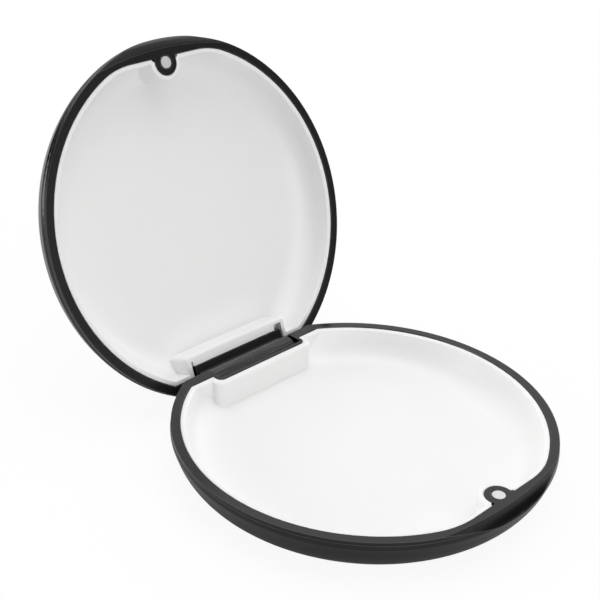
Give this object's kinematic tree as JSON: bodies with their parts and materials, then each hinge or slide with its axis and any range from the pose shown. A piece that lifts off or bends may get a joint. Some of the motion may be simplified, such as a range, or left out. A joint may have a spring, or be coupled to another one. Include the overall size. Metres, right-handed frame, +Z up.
{
  "type": "orthodontic retainer case",
  "caption": "Slim round clamshell case that holds an orthodontic retainer: black hinged shells lined with white trays, with a finger scoop and magnets in the front edges.",
  "frame": {"origin": "centre of the base's flat underside, on the axis of its round outline", "axes": "+Z up out of the base, +Y towards the hinge at the back, +X along the hinge axis; the lid is stored at its open stop"},
  "size_m": [0.0836, 0.1165, 0.0774],
  "materials": {
    "shell_plastic": "satin black moulded plastic",
    "tray_plastic": "white moulded plastic, soft gloss",
    "magnet_metal": "nickel-plated disc",
    "pin_steel": "drawn steel"
  },
  "bodies": {
    "base": {"base_shell": "shell_plastic", "base_tray": "tray_plastic", "base_magnet": "magnet_metal", "hinge_pin": "pin_steel"},
    "lid": {"lid_shell": "shell_plastic", "lid_tray": "tray_plastic", "lid_magnet": "magnet_metal"}
  },
  "joints": [
    {"name": "lid_hinge", "type": "hinge", "parent": "base", "child": "lid", "pos_m": [0, 0.036, 0.0074], "axis": [1, 0, 0], "range_deg": [0, 112]}
  ]
}
